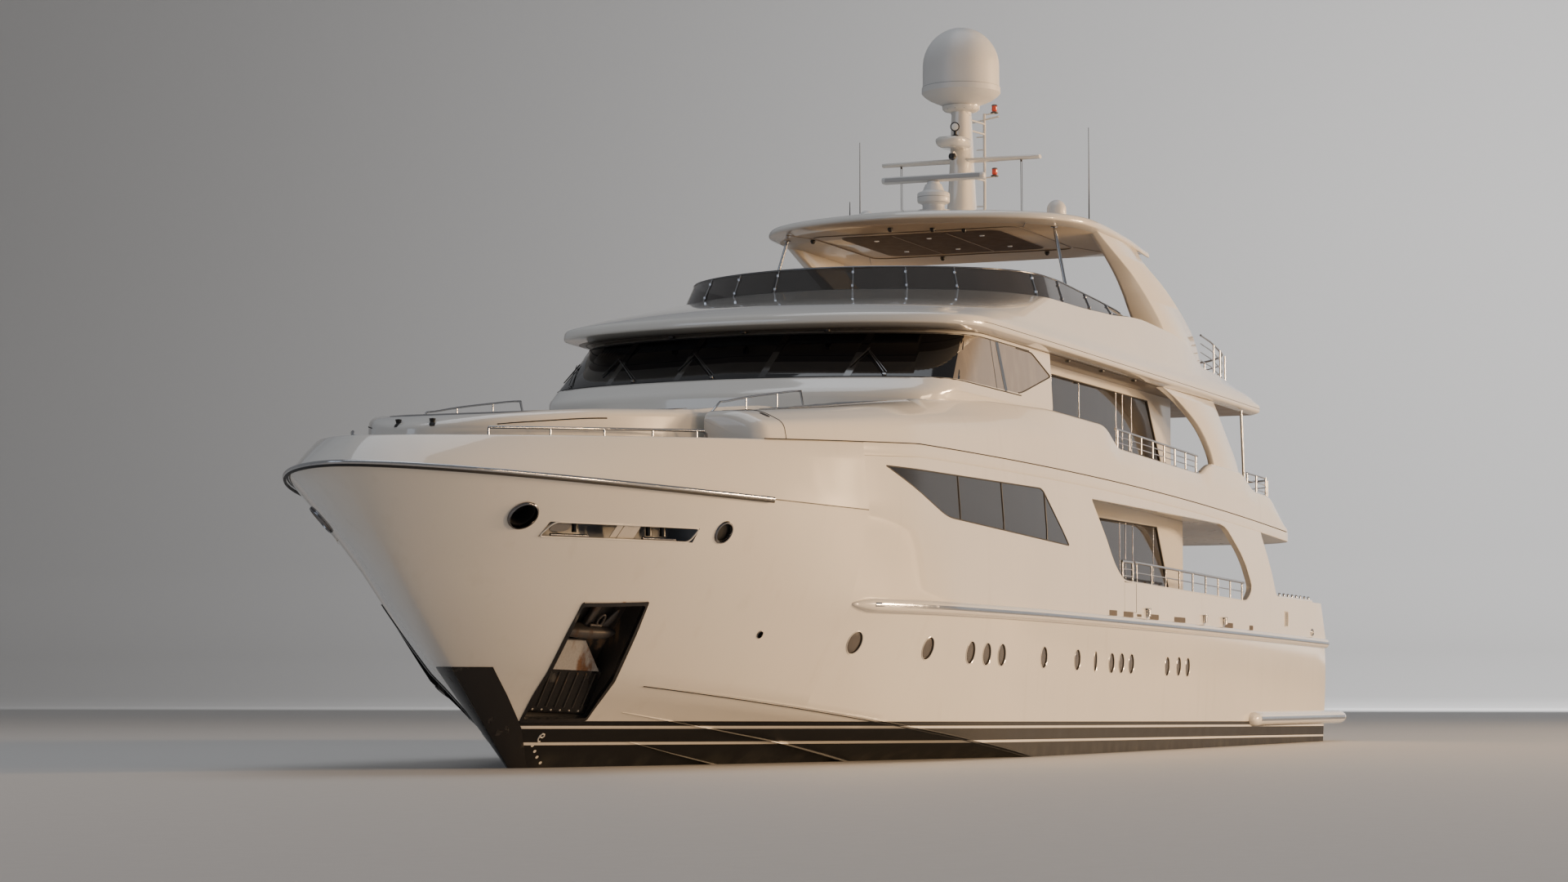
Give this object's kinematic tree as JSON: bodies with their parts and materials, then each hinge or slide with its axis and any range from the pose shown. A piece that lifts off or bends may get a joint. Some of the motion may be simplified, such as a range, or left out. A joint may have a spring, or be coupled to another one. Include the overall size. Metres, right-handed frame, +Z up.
{
  "type": "motor yacht",
  "caption": "Three-deck motor yacht with a raised pilothouse, a covered flybridge, a domed mast, steering rudders, turning propellers and opening doors and gates.",
  "frame": {"origin": "on the centreline at the waterline, near amidships", "axes": "+X forward, +Y to port, +Z up"},
  "size_m": [39.3996, 8.02, 15.592],
  "materials": {
    "white_paint": "glossy cream-white yacht paint on a moulded hull",
    "glass": "dark tinted glass",
    "smoked_screen": "smoked acrylic",
    "steel": "polished stainless steel",
    "bronze": "cast bronze",
    "anchor_iron": "worn galvanised iron"
  },
  "bodies": {
    "yacht": {"hull": "white_paint", "bow_bulwark": "white_paint", "topside_port": "white_paint", "topside_stbd": "white_paint", "topside_glass_port": "glass", "topside_glass_stbd": "glass", "side_rub_rail_fore_port": "white_paint", "side_rub_rail_fore_stbd": "white_paint", "side_rub_rail_aft_port": "white_paint", "side_rub_rail_aft_stbd": "white_paint", "bow_rub_rail": "steel", "swim_platform": "white_paint", "quarter_fender_port": "white_paint", "quarter_fender_stbd": "white_paint", "upper_deck": "white_paint", "upper_bulwark_port": "white_paint", "upper_bulwark_stbd": "white_paint", "pilothouse": "white_paint", "pilothouse_glass": "glass", "foredeck_trunk": "white_paint", "fly_deck": "white_paint", "fly_windscreen": "smoked_screen", "fly_screen_rail": "steel", "hardtop": "white_paint", "hardtop_strut_port": "steel", "hardtop_strut_stbd": "steel", "mast": "white_paint", "radome": "white_paint", "radar_pedestal": "white_paint", "small_dome_port": "white_paint", "small_dome_stbd": "white_paint", "whip_aerial_port": "steel", "whip_aerial_stbd": "steel", "main_deckhouse": "white_paint", "sky_lounge": "white_paint", "main_glass_port": "glass", "main_glass_stbd": "glass", "sky_glass_port": "glass", "sky_glass_stbd": "glass", "main_side_rail_port": "steel", "main_side_rail_stbd": "steel", "upper_side_rail_port": "steel", "upper_side_rail_stbd": "steel", "upper_aft_rail": "steel", "fly_aft_rail": "steel", "foredeck_rail_port": "steel", "foredeck_rail_stbd": "steel", "anchor_port": "anchor_iron", "anchor_stbd": "anchor_iron"},
    "gate_port": {"boarding_gate_port": "white_paint"},
    "saloon_door_port": {"main_door_port": "glass"},
    "lounge_door_port": {"sky_door_port": "glass"},
    "propeller_port": {"propeller_port": "bronze"},
    "rudder_port": {"rudder_port": "bronze"},
    "gate_stbd": {"boarding_gate_stbd": "white_paint"},
    "saloon_door_stbd": {"main_door_stbd": "glass"},
    "lounge_door_stbd": {"sky_door_stbd": "glass"},
    "propeller_stbd": {"propeller_stbd": "bronze"},
    "rudder_stbd": {"rudder_stbd": "bronze"},
    "scanner": {"radar_scanner": "white_paint"}
  },
  "joints": [
    {"name": "gate_swing_port", "type": "hinge", "parent": "yacht", "child": "gate_port", "pos_m": [-2.35, 3.715, 2.7], "axis": [0, 0, 1], "range_deg": [0, 95]},
    {"name": "saloon_door_slide_port", "type": "slide", "parent": "yacht", "child": "saloon_door_port", "axis": [0, 1, 0], "range_m": [0, 0.85]},
    {"name": "lounge_door_slide_port", "type": "slide", "parent": "yacht", "child": "lounge_door_port", "axis": [0, 1, 0], "range_m": [0, 0.85]},
    {"name": "propeller_turn_port", "type": "hinge", "parent": "yacht", "child": "propeller_port", "pos_m": [-16.3, 1.55, -1.4], "axis": [0.9962, 0, 0.0869], "continuous": true},
    {"name": "rudder_steer_port", "type": "hinge", "parent": "yacht", "child": "rudder_port", "pos_m": [-17.5, 1.55, -1], "axis": [0, 0, 1], "range_deg": [-35, 35]},
    {"name": "gate_swing_stbd", "type": "hinge", "parent": "yacht", "child": "gate_stbd", "pos_m": [-2.35, -3.715, 2.7], "axis": [0, 0, -1], "range_deg": [0, 95]},
    {"name": "saloon_door_slide_stbd", "type": "slide", "parent": "yacht", "child": "saloon_door_stbd", "axis": [0, -1, 0], "range_m": [0, 0.85]},
    {"name": "lounge_door_slide_stbd", "type": "slide", "parent": "yacht", "child": "lounge_door_stbd", "axis": [0, -1, 0], "range_m": [0, 0.85]},
    {"name": "propeller_turn_stbd", "type": "hinge", "parent": "yacht", "child": "propeller_stbd", "pos_m": [-16.3, -1.55, -1.4], "axis": [0.9962, 0, 0.0869], "continuous": true},
    {"name": "rudder_steer_stbd", "type": "hinge", "parent": "yacht", "child": "rudder_stbd", "pos_m": [-17.5, -1.55, -1], "axis": [0, 0, 1], "range_deg": [-35, 35]},
    {"name": "scanner_turn", "type": "hinge", "parent": "yacht", "child": "scanner", "pos_m": [-3.15, 0, 10.45], "axis": [0, 0, 1], "continuous": true}
  ]
}
